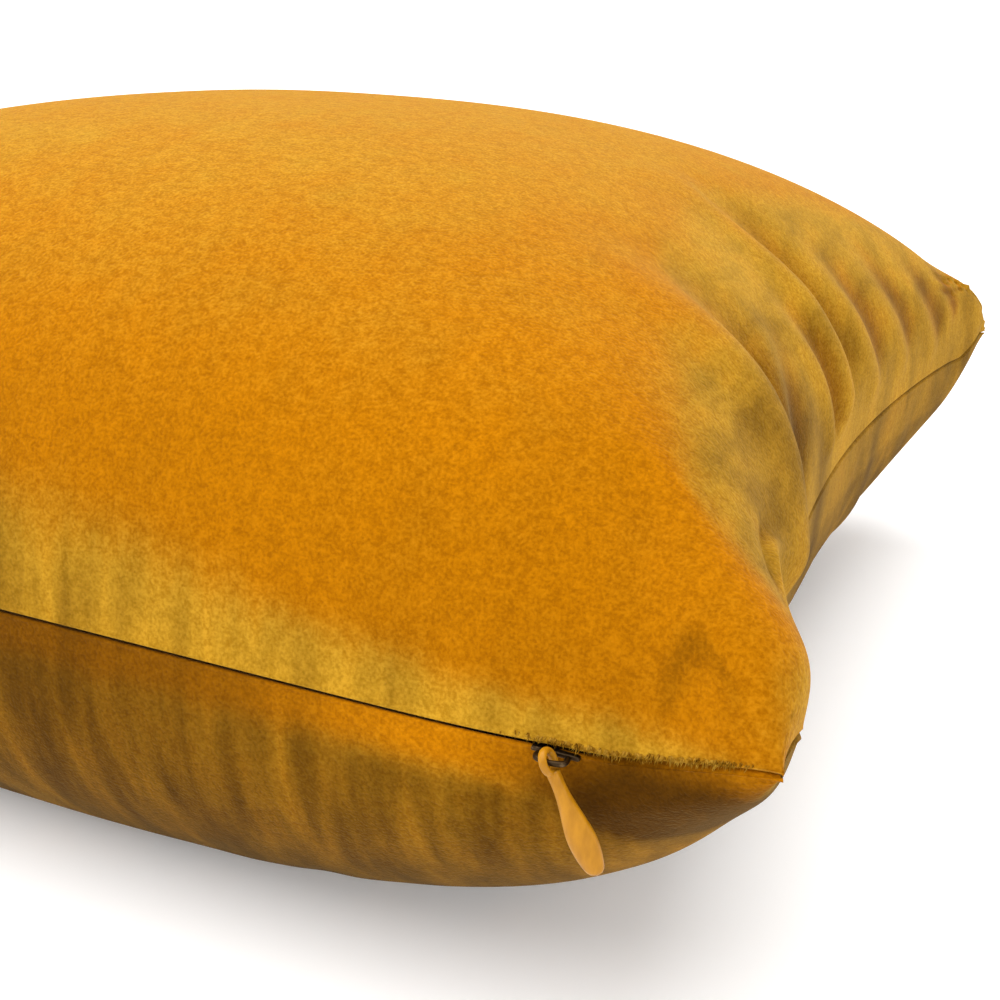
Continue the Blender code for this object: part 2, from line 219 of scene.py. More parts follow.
def dome(u, v, side):
    """The full pillow's form at u, v from -1 to 1: side is 1 on the front and -1 on the back."""
    x = u * (HALF - EDGE_BOW * (1 - v * v))
    near_edge = EDGE_Y - (HALF + EDGE_Y) * ease(ZIP_END, 1, abs(u))
    far_edge = HALF - EDGE_BOW * (1 - u * u)
    y = near_edge + (far_edge - near_edge) * (v + 1) / 2
    full = np.clip((1 - abs(u) ** 2.46) * (1 - abs(v) ** 2.46), 0, 1)
    if side > 0:
        rise = CROWN * full**0.36
    else:
        rise = -np.minimum(BELLY * full**0.44, SEAM_Z - FLAT_BOTTOM)
    lift = CORNER_LIFT * ease(ZIP_END, 1, abs(u)) * ease(ZIP_END, 1, abs(v))
    return np.stack([x, y, SEAM_Z + rise + lift], -1)


def cloth_cover():
    """The cover blown up from its two flat squares. Gives the front and back grids of points."""
    fine = 1 - (1 - np.linspace(0, 1, 2000)) ** 2
    steps = np.linalg.norm(np.diff(dome(fine, 0 * fine, 1), axis=0), axis=1)
    along = np.concatenate([[0], np.cumsum(steps)])
    flat = np.linspace(-1, 1, CELLS + 1)
    place = np.sign(flat) * np.interp(abs(flat), along / along[-1], fine)
    u, v = np.meshgrid(place, place, indexing="ij")
    s, t = np.meshgrid(flat, flat, indexing="ij")
    front, back = dome(u, v, 1), dome(u, v, -1)
    count = CELLS + 1
    inner = (abs(s) < 1) & (abs(t) < 1)
    front_index = np.arange(count * count).reshape(count, count)
    back_index = front_index.copy()
    back_index[inner] = count * count + np.arange(inner.sum())
    points = np.concatenate([front.reshape(-1, 3), back[inner]])
    narrowed = 1 - ZIP_TAKE * np.clip(-t, 0, 1) ** 1.5
    squares = np.stack([s * CUT / 2 * narrowed, t * CUT / 2, 0 * s + SEAM_Z], -1)
    cut = np.concatenate([squares.reshape(-1, 3), squares[inner]])

    def cells(index, turned):
        corners = [index[:-1, :-1], index[1:, :-1], index[1:, 1:], index[:-1, 1:]]
        return np.stack(corners[::-1] if turned else corners, -1).reshape(-1, 4)

    faces = np.concatenate([cells(front_index, False), cells(back_index, True)])
    mesh = bpy.data.meshes.new("cover_cloth")
    mesh.from_pydata(points.tolist(), [], faces.tolist())
    cover = new_piece("cover_cloth", mesh)
    cover.shape_key_add(name="Basis")
    flat_key = cover.shape_key_add(name="cut")
    flat_key.data.foreach_set("co", cut.astype(np.float32).ravel())
    held = cover.vertex_groups.new(name="zip")
    held.add([int(front_index[i, 0]) for i in range(count) if abs(place[i]) <= ZIP_END], 1, "REPLACE")

    board_mesh = bpy.data.meshes.new("press_board")
    board = [(-1, -1, -0.002), (1, -1, -0.002), (1, 1, -0.002), (-1, 1, -0.002)]
    board_mesh.from_pydata(board, [], [(0, 1, 2, 3)])
    press_board = new_piece("press_board", board_mesh)
    press_board.modifiers.new("stop", "COLLISION")
    press_board.collision.thickness_outer = 0.001

    cloth = cover.modifiers.new("cloth", "CLOTH")
    weave = cloth.settings
    weave.rest_shape_key = flat_key
    weave.vertex_group_mass = "zip"
    weave.quality = 6
    weave.tension_stiffness = weave.compression_stiffness = 80
    weave.shear_stiffness = 20
    weave.bending_stiffness = 12
    weave.use_pressure = True
    weave.uniform_pressure_force = PRESSURE
    weave.effector_weights.gravity = 0
    cloth.collision_settings.distance_min = 0.002
    for step in range(1, SETTLING + 1):
        scene.frame_set(step)
    settled = cover.evaluated_get(bpy.context.evaluated_depsgraph_get()).to_mesh()
    points = np.zeros(len(settled.vertices) * 3, np.float32)
    settled.vertices.foreach_get("co", points)
    points = points.reshape(-1, 3).astype(float)
    scene.frame_set(1)
    for piece in (cover, press_board):
        bpy.data.objects.remove(piece)
    return points[front_index], points[back_index]


front_points, back_points = cloth_cover()


def finer(grid):
    """Twice as many cells each way, with new points on smooth curves through the old ones."""
    for direction in range(2):
        ends = np.concatenate([2 * grid[:1] - grid[1:2], grid, 2 * grid[-1:] - grid[-2:-1]])
        middle = (9 * (ends[1:-2] + ends[2:-1]) - ends[:-3] - ends[3:]) / 16
        made = np.empty((2 * len(grid) - 1,) + grid.shape[1:])
        made[::2], made[1::2] = grid, middle
        grid = made.transpose(1, 0, 2)
    return grid


def facing(grid, side):
    """The way that the cloth faces at each point."""
    across, along = np.gradient(grid, axis=0), np.gradient(grid, axis=1)
    normal = side * np.cross(across, along)
    return normal / np.maximum(np.linalg.norm(normal, axis=-1, keepdims=True), 1e-9)


def mm(*values):
    """Millimetres, as metres."""
    return np.array(values) / 1000


def near(grid, center, size):
    """1 at a place, falling off smoothly over its size each way."""
    return np.exp(-(((grid - mm(*center)) / mm(*size)) ** 2).sum(-1))


def fold(grid, normal, path, height, width, valley=0.6):
    """A fold along a path, with its valley on the far side. Gives the rise, the crest and the valley."""
    best = np.full(grid.shape[:2], 9.0)
    crest, dip = np.zeros((2,) + grid.shape[:2])
    width = mm(width)
    path = [mm(*place) for place in path]
    for step, (start, end) in enumerate(zip(path, path[1:])):
        length = np.linalg.norm(end - start)
        run = (end - start) / length
        t = np.clip((grid - start) @ run / length, 0, 1)
        offset = grid - (start + t[..., None] * length * run)
        sideways = np.cross(run, normal)
        sideways /= np.maximum(np.linalg.norm(sideways, axis=-1, keepdims=True), 1e-6)
        sideways *= np.sign(sideways[..., :1] + sideways[..., 1:2])
        across = (offset * sideways).sum(-1)
        past = offset @ run
        closer = abs(across) + 2 * abs(past) < best
        best = np.minimum(best, abs(across) + 2 * abs(past))
        whole = (step + t) / (len(path) - 1)
        taper = ease(0, 0.6, whole) * ease(0, 0.15, 1 - whole) * np.exp(-((past / width) ** 2))
        ridge = taper * np.exp(-((across / width) ** 2))
        trough = taper * np.exp(-(((across - 1.7 * width) / (1.1 * width)) ** 2))
        crest = np.where(closer, ridge, crest)
        dip = np.where(closer, trough, dip)
    return mm(height) * (crest - valley * dip), crest, dip


# Each fold's line in mm, how high it stands, how wide it is, and how deep the valley beyond it is as a
# share of that height. The front panel has these on its right flank and weaker ones on its left.
RIGHT_FOLDS = [
    ([(128, -124, 168), (150, -116, 155), (167, -112, 142), (179, -112, 128), (187, -116, 112),
      (192, -128, 98), (194, -142, 86)], 6.5, 15, 0.8),
    ([(158, -66, 145), (171, -68, 132), (179, -76, 120), (184, -84, 104), (187, -92, 88)], 2.4, 8, 0.9),
    ([(110, -34, 176), (137, -16, 163), (152, -12, 151), (166, -10, 138), (176, -8, 124),
      (184, 0, 106), (187, 8, 88)], 4.6, 12, 0.9),
    ([(160, -44, 143), (172, -38, 131), (180, -32, 117), (184, -26, 102), (186, -22, 86)], 2.4, 7, 0.8),
    ([(150, 22, 150), (168, 30, 134), (178, 38, 121), (184, 46, 106), (187, 58, 88)], 2.2, 10, 0.9),
    ([(164, 66, 140), (177, 78, 124), (186, 90, 108), (190, 100, 90)], 1.5, 9, 0.9),
    ([(174, 112, 132), (186, 124, 116), (192, 134, 102), (196, 144, 88)], 1.2, 8, 0.8),
    ([(184, 152, 124), (192, 160, 110), (200, 168, 96)], 0.4, 6, 0.8),
]
# The back panel's folds, which are shallow
BACK_FOLDS = [
    ([(188, 36, 80), (187, 50, 68), (184, 64, 52), (176, 78, 36), (166, 90, 22)], 1.0, 10, 0.6),
    ([(188, -60, 78), (187, -66, 64), (182, -76, 48), (172, -84, 34)], 0.8, 9, 0.6),
    ([(192, 104, 78), (190, 112, 64), (184, 122, 50)], 0.5, 8, 0.6),
]


FRONT_SINK = 0.965  # how the front has settled, against the height it was blown up to
# Pushes that hands and filling gave the cloth, in mm: the place, how far the push reaches, and its way
PUSHES = [
    ((206, -188, 92), (15, 22, 24), (7.5, 0, 0)),  # the near right corner is stuffed full
    ((217, -216, 91), (22, 15, 22), (-3.0, 2.0, -5.0)),  # its tip is blunt
    ((216, -196, 92), (12, 10, 22), (1.0, 0, 3.0)),
    ((176, -212, 56), (20, 8, 18), (0, 3.0, 0)),  # the pull presses in, at whichever end of the zip it is
    ((192, -198, 52), (32, 26, 26), (0, 1.0, 4.2)),
    ((-176, -212, 56), (20, 8, 18), (0, 3.0, 0)),
    ((-192, -198, 52), (32, 26, 26), (0, 1.0, 4.2)),
    ((217, 217, 97), (14, 14, 26), (-3.0, -3.0, -3.0)),  # the far right corner droops
    ((215, 215, 97), (34, 34, 30), (0, 0, -4.0)),
]
EDGE_CELLS = 6  # beside a seam, where the stitching holds the cloth
SMOOTHING = 30  # passes that take the puckers out of the near corners


def pillowed(grid, side):
    """The shape that the filling and the hands leave, and how the velvet's pile lies on it, with painted
    sheen and painted shade.
    """
    grid = grid.copy()
    above = grid[..., 2] - SEAM_Z
    grid[..., 2] = SEAM_Z + above * np.where(above > 0, FRONT_SINK, 1)
    for center, reach, push in PUSHES:
        grid += near(grid, center, reach)[..., None] * mm(*push)
    normal = facing(grid, side)
    cells = np.minimum(np.arange(len(grid)), np.arange(len(grid))[::-1])
    edge = ease(0, EDGE_CELLS, np.minimum(cells[:, None], cells[None, :]))
    crests, dips = np.zeros((2,) + grid.shape[:2])
    folds = RIGHT_FOLDS if side > 0 else BACK_FOLDS
    mirrored = [([(-x, 0.9 * y + 14, z) for x, y, z in path], 0.7 * height, width, valley)
                for path, height, width, valley in folds]
    for path, height, width, valley in folds + mirrored:
        rise, crest, dip = fold(grid, normal, path, height, width, valley)
        grid += (rise * edge)[..., None] * normal
        crests, dips = np.maximum(crests, crest), np.maximum(dips, dip)
    softer = np.zeros(grid.shape[:2])
    for end in (1, -1):
        softer = np.maximum(softer, near(grid, (end * 214, -214, 96), (26, 26, 44)))
        softer = np.maximum(softer, edge * near(grid, (end * 192, -204, 106), (24, 14, 22)))
    softer = 0.9 * softer[1:-1, 1:-1, None]
    for sweep in range(SMOOTHING):
        around = (grid[2:, 1:-1] + grid[:-2, 1:-1] + grid[1:-1, 2:] + grid[1:-1, :-2]) / 4
        grid[1:-1, 1:-1] += softer * (around - grid[1:-1, 1:-1])
    grid[..., 2] = np.maximum(grid[..., 2], 0.0005)
    normal = facing(grid, side)
    x, y, z = (1000 * grid[..., axis] for axis in range(3))
    height = (grid[..., 2] - SEAM_Z) * 1000
    if side > 0:
        # Pale nap combed along the zip and round the near right corner. Paler on the crown, on the flanks and
        # on the side facing away is painted sheen, partly pale nap on the flanks.
        band = 10 + 21 * (1 - ease(15, 165, abs(x)))
        brushed = (1 - ease(0.25 * band, 1.45 * band, height)) * (y < -150)
        pale = 0.95 * brushed
        # painted sheen: paler towards the top of the crown
        pale = np.maximum(pale, 0.5 * ease(118, 186, z))
        # painted sheen, partly pale nap, on the flanks
        flank = ease(0.3, 0.75, abs(normal[..., 0])) * ease(-200, -172, y)
        pale = np.maximum(pale, flank * (0.9 - 0.6 * dips))
        pale = np.maximum(pale, 0.85 * near(grid, (217, -196, 97), (9, 20, 20)))
        pale = np.maximum(pale, 0.9 * near(grid, (197, -164, 104), (14, 18, 20)))
        # painted sheen on the side facing away
        pale = np.maximum(pale, 0.5 * ease(0.3, 0.8, normal[..., 1]))
        # Painted shade: deeper in the folds' valleys, on the flanks, lower down towards the seam, on the near
        # side and beside the main fold on the right; the combed band along the zip is a little deeper too
        shade = 0.28 * dips + 0.16 * flank + 0.24 * ease(115, 5, height)
        shade += 0.1 * ease(0.1, 0.6, -normal[..., 1]) * (1 - pale)
        shade += 0.22 * near(grid, (183, -104, 116), (26, 54, 34)) + 0.12 * brushed * (1 - ease(60, 190, x))
    else:
        # A bright strip under the seam, deeper except towards its right end. Below it the pile is paler and
        # darkened by painted shade with some deep nap, more towards the floor and on the flanks, and most
        # under the near right corner as a painted shadow
        strip = 1 - ease(4, 14, -height)
        pale = 0.55 * (1 - strip)
        flank = ease(0.35, 0.75, abs(normal[..., 0]))
        pale = np.maximum(pale, flank * 0.8)
        shade = 0.7 * (1 - strip) + 0.66 * strip * (1 - ease(80, 165, x)) + 0.14 * ease(30, 74, -height)
        shade = np.maximum(shade, 0.58 * flank)
        shade = np.maximum(shade, 1.4 * near(grid, (200, -210, 66), (40, 26, 18)))
    return grid, np.clip(pale, 0, 1), np.clip(shade, 0, 1)


ROLL = 0.0012  # how round the velvet's edge is where it turns into the seam
# How the edge turns in, ring by ring, as rolls inward and up: where it is sewn, and along the zip
TURNED_IN = [((0.35, 0.4), (-0.2, 0.55)), ((0.8, 0.06), (0.15, 0.25)), ((2.4, 0.0), (0.6, 0.3))]


def panel(name, grid, side, pale, shade):
    """One panel of the cover, its edges rolled over into the seam or, along the zip, under to its tape."""
    count = len(grid)
    last = count - 1
    rim = [(i, 0) for i in range(last)] + [(last, j) for j in range(last)]
    rim += [(i, last) for i in range(last, 0, -1)] + [(0, j) for j in range(last, 0, -1)]
    index = np.arange(count * count).reshape(count, count)
    corners = [index[:-1, :-1], index[1:, :-1], index[1:, 1:], index[:-1, 1:]]
    faces = np.stack(corners if side > 0 else corners[::-1], -1).reshape(-1, 4).tolist()
    verts = grid.reshape(-1, 3).copy()
    ring = [int(index[place]) for place in rim]
    seam = verts[ring].copy()
    inward = (np.array([0, 0, SEAM_Z]) - seam) * [1, 1, 0]
    inward /= np.linalg.norm(inward, axis=1)[:, None]
    past_end = ease(0.98 * ZIP_END, 1.02 * ZIP_END, abs(seam[:, 0]) / HALF)
    zipped = np.array([j == 0 for i, j in rim]) * (1 - past_end)
    up = np.array([0, 0, side])
    verts[ring] = seam + up * ROLL - inward * 0.0002
    rows = [verts]
    for sewn, open_lip in TURNED_IN:
        deep = sewn[0] + (open_lip[0] - sewn[0]) * zipped
        rise = sewn[1] + (open_lip[1] - sewn[1]) * zipped
        rows.append(seam + inward * (deep * ROLL)[:, None] + up * (rise * ROLL)[:, None])
    rings = [ring]
    for row in range(len(TURNED_IN)):
        rings.append([count * count + row * len(ring) + k for k in range(len(ring))])
    for outer, deeper in zip(rings, rings[1:]):
        for k in range(len(ring)):
            after = (k + 1) % len(ring)
            quad = (outer[k], deeper[k], deeper[after], outer[after])
            faces.append(quad if side > 0 else quad[::-1])
    mesh = bpy.data.meshes.new(name)
    mesh.from_pydata(np.concatenate(rows).tolist(), [], faces)
    mesh.shade_smooth()
    for attribute, values in (("pale", pale), ("shade", shade)):
        values = np.concatenate([values.ravel()] + len(TURNED_IN) * [values.ravel()[ring]])
        mesh.attributes.new(attribute, "FLOAT", "POINT").data.foreach_set("value", values.astype(np.float32))
    piece = new_piece(name, mesh)
    smooth = piece.modifiers.new("smooth", "SUBSURF")
    smooth.levels = smooth.render_levels = 1
    return piece


# The velvet's own orange; the pale gold serves both pale nap and painted sheen, and the brown both deep nap
# and painted shade
ORANGE = (0.455, 0.157, 0.0005)
PALE_GOLD = (0.48, 0.25, 0.015)
NAP_AND_SHADE_BROWN = (0.064, 0.023, 0.0006)
PILE = 0.00045  # how deep the pile's roughness looks


def velvet():
    """Orange pile that lies paler or deeper where it has been brushed, with painted sheen and painted shade
    from the cover's attributes, and its tips catching the light.
    """
    material, shader, tree, place = finish("velvet", roughness=0.95, Sheen_Weight=0.12, Sheen_Roughness=0.4)
    shader.inputs["Sheen Tint"].default_value = (1.0, 0.8, 0.4, 1)
    shader.inputs["Specular IOR Level"].default_value = 0.02
    pale = Wire.node(tree, "Attribute", {"attribute_name": "pale"}, output=2)
    shade = Wire.node(tree, "Attribute", {"attribute_name": "shade"}, output=2)
    combed = Wire.node(tree, "Mapping", {}, {"Vector": place, "Scale": (1.0, 0.3, 0.12)})
    cloud = noise(tree, place, 0.045, 3)
    patch = noise(tree, place, 0.014, 3)
    streak = noise(tree, combed, 0.0075, 2)
    tuft = noise(tree, place, 0.0024, 2)
    hair = noise(tree, place, 0.00075, 2)
    # the pale attribute brings pale nap and painted sheen into the pile's lie
    lie_and_sheen = pale + (cloud - 0.5) * 0.3 + (patch - 0.5) * 0.35 + (streak - 0.5) * 1.1 * pale * pale
    lie_and_sheen = (lie_and_sheen + (tuft - 0.5) * 0.3 + (hair - 0.5) * 0.35 + 0.04).between(0.02, 0.98)
    color = lie_and_sheen.mix(ORANGE, PALE_GOLD)
    drift = noise(tree, place, 0.07, 2)
    # painted shade, with some deep nap, from the shade attribute darkens the colour towards the brown
    dark = shade + (patch - 0.5) * 0.12 + (drift - 0.5) * 0.25 + (streak - 0.5) * (shade * 0.4 + pale * 0.8)
    color = dark.between(0, 1).mix(color, NAP_AND_SHADE_BROWN)
    speck = (hair * 0.65 + tuft * 0.35).between(0.28, 0.72)
    color = speck.mix((0.74, 0.70, 0.5), (1.18, 1.20, 1.4)).times(color)
    plug(tree, color, shader, "Base Color")
    bump(tree, hair * 0.6 + tuft * 0.4, PILE, shader)
    return material


def stitched_cover():
    """Makes both panels. Gives the points that their seams run along."""
    velvet_finish = velvet()
    made = []
    for name, points, side in (("cover_front", front_points, 1), ("cover_back", back_points, -1)):
        grid, pale, shade = pillowed(finer(points), side)
        piece = panel(name, grid, side, pale, shade)
        piece.data.materials.append(velvet_finish)
        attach(piece, "cushion")
        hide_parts(name + "_panel")
        made.append(grid)
    return made


front_grid, back_grid = stitched_cover()


# Pile fringe. Where the panels are cut and turned in at the closed end of the zip, the front's pile stands
# out past the lip in short uneven tufts.

TUFTS = 7.5  # to each mm of the lip
TUFT_LENGTH = 0.0008
TUFT_BASE = (0.00018, 0.0003)


def fringe():
    rng = random.Random(7)
    lip = Vector((0, 0, ROLL))
    verts, faces = [], []
    for i in range(len(front_grid) - 1):
        start, end, deep = (Vector(front_grid[place]) for place in ((i, 0), (i + 1, 0), (i, 1)))
        share = float(ease(0.155, 0.172, start.x) * ease(0.208, 0.2, start.x))
        thick = TUFTS * share
        for tuft in range(int((end - start).length * 1000 * thick + rng.random())):
            root = (start.lerp(end, rng.random()) + lip).lerp(deep + lip, rng.random() * 0.45)
            outward = Vector((0, -1, 0)) * rng.uniform(0.4, 0.9)
            lean = outward + Vector((rng.uniform(-0.4, 0.4), rng.uniform(-0.2, 0.2), 0))
            lean.z = rng.uniform(-1.4, -0.1)
            tip = root + lean.normalized() * rng.uniform(TUFT_LENGTH, 0.0015 + 0.0006 * share)
            wide = rng.uniform(*TUFT_BASE)
            across = (end - start).normalized()
            other = across.cross(lean).normalized()
            base = len(verts)
            for turn in range(3):
                angle = turn * math.tau / 3 + rng.random()
                verts.append(root + (across * math.cos(angle) + other * math.sin(angle)) * wide)
            verts.append(tip)
            faces += [(base, base + 1, base + 3), (base + 1, base + 2, base + 3),
                      (base + 2, base, base + 3), (base + 2, base + 1, base)]
    mesh = bpy.data.meshes.new("pile_fringe")
    mesh.from_pydata([tuple(place) for place in verts], [], faces)
    mesh.shade_smooth()
    piece = new_piece("pile_fringe", mesh)
    material, shader, tree, place = finish("pile", roughness=0.95)
    shader.inputs["Specular IOR Level"].default_value = 0.05
    # the darker tuft colour is the velvet's darkened as painted shade of the seam's hollow; the paler one is
    # the velvet's own pale gold
    color = noise(tree, place, 0.0012, 1).between(0.35, 0.65).mix((0.22, 0.095, 0.003), (0.42, 0.23, 0.025))
    plug(tree, color, shader, "Base Color")
    mesh.materials.append(material)
    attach(piece, "cushion")


fringe()


# Seam thread. Spun polyester lockstitch that closes the far and side seams a centimetre inside the cover,
# and the short seams beyond the zip's ends.

def thread_finish():
    material, shader, tree, place = finish("spun_thread", roughness=0.7, Sheen_Weight=0.2)
    ply = Wire.node(tree, "TexWave", {"wave_type": "BANDS", "bands_direction": "DIAGONAL"},
                    {"Vector": place, "Scale": 900.0, "Distortion": 0.6}, output=1)
    plug(tree, ply.mix((0.30, 0.12, 0.008), (0.52, 0.24, 0.03)), shader, "Base Color")
    bump(tree, ply, 0.00005, shader)
    return material


thread = thread_finish()


THREAD = 0.00022  # radius
STITCH = 0.0028
STITCH_DIP = 0.0005
SEAM_INSET = 0.01  # from the pillow's edge to the seam
END_INSET = 0.008


def drawn_in(points, inset):
    """A seam's line, drawn in from the edge towards the middle of the pillow."""
    inward = (np.array([0, 0, SEAM_Z]) - points) * [1, 1, 0]
    inward /= np.linalg.norm(inward, axis=1)[:, None]
    return points + inward * inset


def strand(name, path, radius, material, node):
    """A thin round strand along a path, in the place of one of the pillow's nodes."""
    curve = bpy.data.curves.new(name, "CURVE")
    curve.dimensions = "3D"
    curve.bevel_depth = radius
    curve.bevel_resolution = 1
    spline = curve.splines.new("POLY")
    spline.points.add(len(path) - 1)
    for point, place in zip(spline.points, path):
        point.co = (*place, 1)
    piece = new_piece(name, curve)
    curve.materials.append(material)
    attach(piece, "cushion")
    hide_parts(node)


def stitches(name, points, node):
    """A row of lockstitches: the thread dips through the cloth between one stitch and the next."""
    steps = np.concatenate([[0], np.cumsum(np.linalg.norm(np.diff(points, axis=0), axis=1))])
    ways = np.linspace(0, steps[-1], int(steps[-1] / STITCH) * 6 + 1)
    path = np.stack([np.interp(ways, steps, points[:, axis]) for axis in range(3)], -1)
    path[:, 2] += STITCH_DIP * np.sin(math.tau * ways / STITCH)
    strand(name, path, THREAD, thread, node)


short = int(0.06 * (len(front_grid) - 1))  # a seam's thread stops this many cells before the corner
stitches("far_seam", drawn_in(front_grid[short:-short, -1], SEAM_INSET), "seam_thread_far")
stitches("left_seam", drawn_in(front_grid[0, short:-short], SEAM_INSET), "seam_thread_left")
stitches("right_seam", drawn_in(front_grid[-1, short:-short], SEAM_INSET), "seam_thread_right")
lip_line = front_grid[:-1, 0]
beyond = lip_line[(ZIP_END + 0.03 < lip_line[:, 0] / HALF) & (lip_line[:, 0] / HALF < 0.965)]
stitches("zip_end_seam_right", drawn_in(beyond, END_INSET), "end_seam_thread_right")
stitches("zip_end_seam_left", drawn_in(beyond, END_INSET) * [-1, 1, 1], "end_seam_thread_left")
for name in ("zip_stitching_front", "zip_stitching_back"):
    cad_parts[name].data.materials.clear()
    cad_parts[name].data.materials.append(thread)


# Zip. Two woven polyester tapes are sewn under the lips, each with a nylon coil along its edge and pressed
# metal stops at the ends. The coils are wound, so each is a helix squeezed narrow at its teeth.

def tape_finish():
    material, shader, tree, place = finish("woven_tape", roughness=0.75, Sheen_Weight=0.15)
    rib = Wire.node(tree, "TexWave", {"bands_direction": "X"}, {"Vector": place, "Scale": 420.0}, output=1)
    weft = Wire.node(tree, "TexWave", {"bands_direction": "Z"}, {"Vector": place, "Scale": 300.0}, output=1)
    weave = rib * 0.6 + weft * 0.4
    plug(tree, weave.mix((0.20, 0.085, 0.01), (0.33, 0.16, 0.025)), shader, "Base Color")
    bump(tree, weave, 0.0001, shader)
    return material


def coil_finish():
    material, shader, tree, place = finish("nylon_coil", roughness=0.35)
    cloud = noise(tree, place, 0.004, 2)
    plug(tree, cloud.mix((0.10, 0.05, 0.012), (0.16, 0.08, 0.02)), shader, "Base Color")
    plug(tree, cloud * 0.2 + 0.3, shader, "Roughness")
    return material


def metal_finish():
    material, shader, tree, place = finish("dark_bronze", roughness=0.4, metallic=1.0)
    worn = noise(tree, place, 0.0012, 3)
    rubbed = worn.between(0.55, 0.8)
    plug(tree, rubbed.mix((0.045, 0.028, 0.014), (0.16, 0.10, 0.05)), shader, "Base Color")
    plug(tree, worn * 0.3 + 0.28, shader, "Roughness")
    bump(tree, worn, 0.00005, shader)
    return material


tape, coil, dark_metal = tape_finish(), coil_finish(), metal_finish()
for name in ("zip_tape_front", "zip_tape_back"):
    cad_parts[name].data.materials.clear()
    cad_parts[name].data.materials.append(tape)

COIL_PITCH = 0.0012  # from one tooth of the coil to the next
COIL_WIRE = 0.00022  # radius
COIL_SIDES = 12  # points to each turn
for name, phase in (("zip_coil_front", 0.0), ("zip_coil_back", 0.5)):
    low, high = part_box(name)
    center = (low + high) / 2
    wide = (high.y - low.y) / 2 - COIL_WIRE
    tall = (high.z - low.z) / 2 - COIL_WIRE
    path = []
    for number in range(int((high.x - low.x - 2 * COIL_WIRE) / COIL_PITCH) * COIL_SIDES + 1):
        angle = math.tau * (number / COIL_SIDES + phase)
        squeeze = 1 - 0.25 * (math.sin(angle) > 0)
        x = low.x + COIL_WIRE + number / COIL_SIDES * COIL_PITCH
        path.append((x, center.y + wide * math.cos(angle) * squeeze, center.z + tall * math.sin(angle)))
    strand(name + "_wound", path, COIL_WIRE, coil, name)


def rounded(node, name, radius, material, body):
    """A pressed or bent metal part with its edges broken."""
    piece = new_piece(name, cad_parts[node].data.copy())
    weld = piece.modifiers.new("weld", "WELD")
    weld.merge_threshold = 0.00001
    edge = piece.modifiers.new("edge", "BEVEL")
    edge.width = radius
    edge.segments = 3
    edge.limit_method = "ANGLE"
    edge.angle_limit = math.radians(40)
    piece.data.materials.clear()
    piece.data.materials.append(material)
    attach(piece, body)
    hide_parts(node)


for node in ("zip_bottom_stop", "zip_top_stop_front", "zip_top_stop_back"):
    rounded(node, node + "_pressed", 0.00025, dark_metal, "cushion")


# Slider. A die-cast body in a dark bronze finish runs on the coils, and a small wire bridge stands out
# between the lips to carry the pull.

rounded("zip_slider_body", "slider_cast", 0.0004, dark_metal, "slider")


BRIDGE_Z = 0.077
SHOULDER = 0.0014  # where the wire starts to bend, behind its front
BEND = 0.0018


def bridge_wire():
    """The wire comes out between the lips, bends square, and goes back in."""
    low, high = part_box("zip_slider_bridge")
    thin = (high.z - low.z) / 2
    curve = bpy.data.curves.new("slider_bridge_wire", "CURVE")
    curve.dimensions = "3D"
    curve.bevel_depth = thin
    curve.bevel_resolution = 4
    curve.use_fill_caps = True
    path = [(low.x + thin, high.y), (low.x + thin, low.y + SHOULDER), (low.x + BEND, low.y + thin),
            (high.x - BEND, low.y + thin), (high.x - thin, low.y + SHOULDER), (high.x - thin, high.y)]
    spline = curve.splines.new("BEZIER")
    spline.bezier_points.add(len(path) - 1)
    for point, place in zip(spline.bezier_points, path):
        point.co = (*place, BRIDGE_Z)
        point.handle_left_type = point.handle_right_type = "AUTO"
    piece = new_piece("slider_bridge_wire", curve)
    curve.materials.append(dark_metal)
    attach(piece, "slider")
    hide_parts("zip_slider_bridge")


bridge_wire()


# Pull. A slim turned drop with a golden lacquer, cast on a ring that swings on the bridge. Its neck is
# slender and it swells a little below its middle, like a skittle hanging upside down.

def lacquer_finish():
    coat = {"Coat_Weight": 0.12, "Coat_Roughness": 0.1}
    material, shader, tree, place = finish("golden_lacquer", roughness=0.32, **coat)
    shader.inputs["Specular IOR Level"].default_value = 0.15
    grain = noise(tree, Wire.node(tree, "Mapping", {}, {"Vector": place, "Scale": (1, 1, 0.3)}), 0.0018, 3)
    plug(tree, grain.between(0.3, 0.7).mix((0.36, 0.15, 0.004), (0.47, 0.205, 0.008)), shader, "Base Color")
    plug(tree, grain * 0.15 + 0.25, shader, "Roughness")
    bump(tree, noise(tree, place, 0.0015, 2), 0.00004, shader)
    return material


REACH = 0.0245  # from the bridge to the drop's tip
FLATNESS = 0.6  # the drop's thickness as a share of its width
RING = 0.0022  # radius, to the middle of its wire
RING_WIRE = 0.0007  # radius
PIVOT_Y = -0.212
TILT = math.radians(-28)  # how the drop hangs to one side
# How wide the drop is in mm, from its ring at 0 to its tip at 1
PROFILE = [(0, 2.9), (0.1, 2.6), (0.22, 2.9), (0.34, 3.9), (0.48, 5.3), (0.62, 6.3), (0.76, 6.1), (0.88, 5.0),
           (0.94, 4.2), (1, 3.0)]
ROUND_TIP = 0.07  # the share of its length that its tip is rounded over


